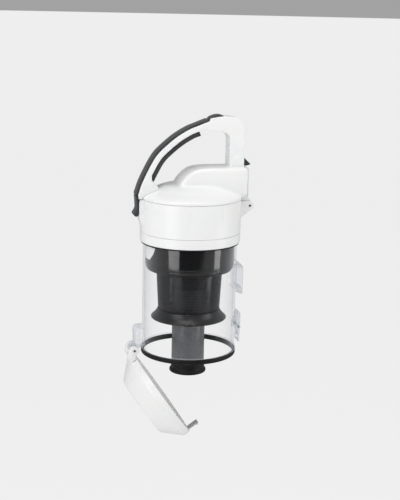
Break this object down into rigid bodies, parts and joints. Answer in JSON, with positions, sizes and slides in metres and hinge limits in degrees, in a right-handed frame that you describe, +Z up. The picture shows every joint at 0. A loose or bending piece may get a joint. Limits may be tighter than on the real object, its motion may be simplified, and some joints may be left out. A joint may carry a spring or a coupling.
{
  "type": "vacuum cleaner dust container",
  "caption": "Lift-out cyclone dust container with an arched carrying handle, clear bin, perforated screen, hinged cover and a bottom flap that hangs open.",
  "frame": {"origin": "middle of the carrying grip, where the cyclone's axis crosses the handle", "axes": "+Z up along the cyclone's axis, +Y to the rear, out of the outlet duct; -Y is the front, where the handle's foot and the flap's hinge are"},
  "size_m": [0.1424, 0.1826, 0.4686],
  "materials": {
    "pale_rubber": "pale grey elastomer",
    "white_plastic": "moulded ABS, satin gloss",
    "clear_plastic": "clear polycarbonate, polished",
    "dark_grip": "soft-touch dark grey",
    "gloss_black": "moulded, high gloss",
    "satin_black": "moulded, satin",
    "grey_plastic": "moulded, fine texture",
    "black_rubber": "moulded, matt",
    "filter_paper": "pleated paper and foam",
    "label_white": "printed plate, no marks",
    "steel": "drawn"
  },
  "bodies": {
    "container": {"head_body": "white_plastic", "collar_ring": "white_plastic", "clear_bin": "clear_plastic", "bin_rim_seal": "black_rubber", "collar_seal": "black_rubber", "flap_hinge_pin": "steel", "rocker_pin": "steel", "rocker_spring": "steel", "shroud_band": "gloss_black", "shroud_step": "satin_black", "perforated_screen": "satin_black", "skirt": "satin_black", "dust_tube": "grey_plastic", "tube_boot": "black_rubber", "inner_cone": "grey_plastic", "vortex_finder": "grey_plastic", "label_plate": "label_white", "cover_hinge_pin": "steel", "deck_seal": "black_rubber", "filter_frame": "grey_plastic", "filter_pleats": "filter_paper", "filter_end_cap": "grey_plastic", "filter_foam": "filter_paper"},
    "cover": {"top_cover": "white_plastic", "cover_gasket": "black_rubber", "outlet_seal": "pale_rubber", "handle_shell": "white_plastic", "grip_strip": "dark_grip", "inner_grip": "dark_grip", "foot_screw_left": "steel", "foot_screw_right": "steel", "latch_pin": "steel", "catch_spring": "steel"},
    "release": {"release_button": "dark_grip", "push_rod": "grey_plastic"},
    "catch": {"dock_catch": "dark_grip"},
    "latch": {"cover_latch": "dark_grip"},
    "flap": {"flap": "white_plastic", "flap_hook": "grey_plastic"},
    "rocker": {"flap_release_rocker": "clear_plastic"}
  },
  "joints": [
    {"name": "cover_hinge", "type": "hinge", "parent": "container", "child": "cover", "pos_m": [0, 0.083, -0.105], "axis": [-1, 0, 0], "range_deg": [0, 80]},
    {"name": "flap_hinge", "type": "hinge", "parent": "container", "child": "flap", "pos_m": [0, -0.081, -0.311], "axis": [-1, 0, 0], "range_deg": [-55, 0]},
    {"name": "latch_pull", "type": "hinge", "parent": "cover", "child": "latch", "pos_m": [0, -0.074, -0.0894], "axis": [-1, 0, 0], "range_deg": [0, 8], "stiffness_Nm_per_rad": 0.4},
    {"name": "rocker_press", "type": "hinge", "parent": "container", "child": "rocker", "pos_m": [0, 0.0718, -0.283], "axis": [1, 0, 0], "range_deg": [0, 8], "stiffness_Nm_per_rad": 0.3},
    {"name": "release_button_press", "type": "slide", "parent": "cover", "child": "release", "axis": [0, 0, -1], "range_m": [0, 0.0025], "stiffness_N_per_m": 900, "deforming": ["catch_spring"]},
    {"name": "dock_catch_slide", "type": "slide", "parent": "cover", "child": "catch", "axis": [0, -1, 0], "range_m": [0, 0.004]}
  ],
  "couplings": [
    {"joint": "dock_catch_slide", "follows": "release_button_press", "ratio": 1.6}
  ]
}
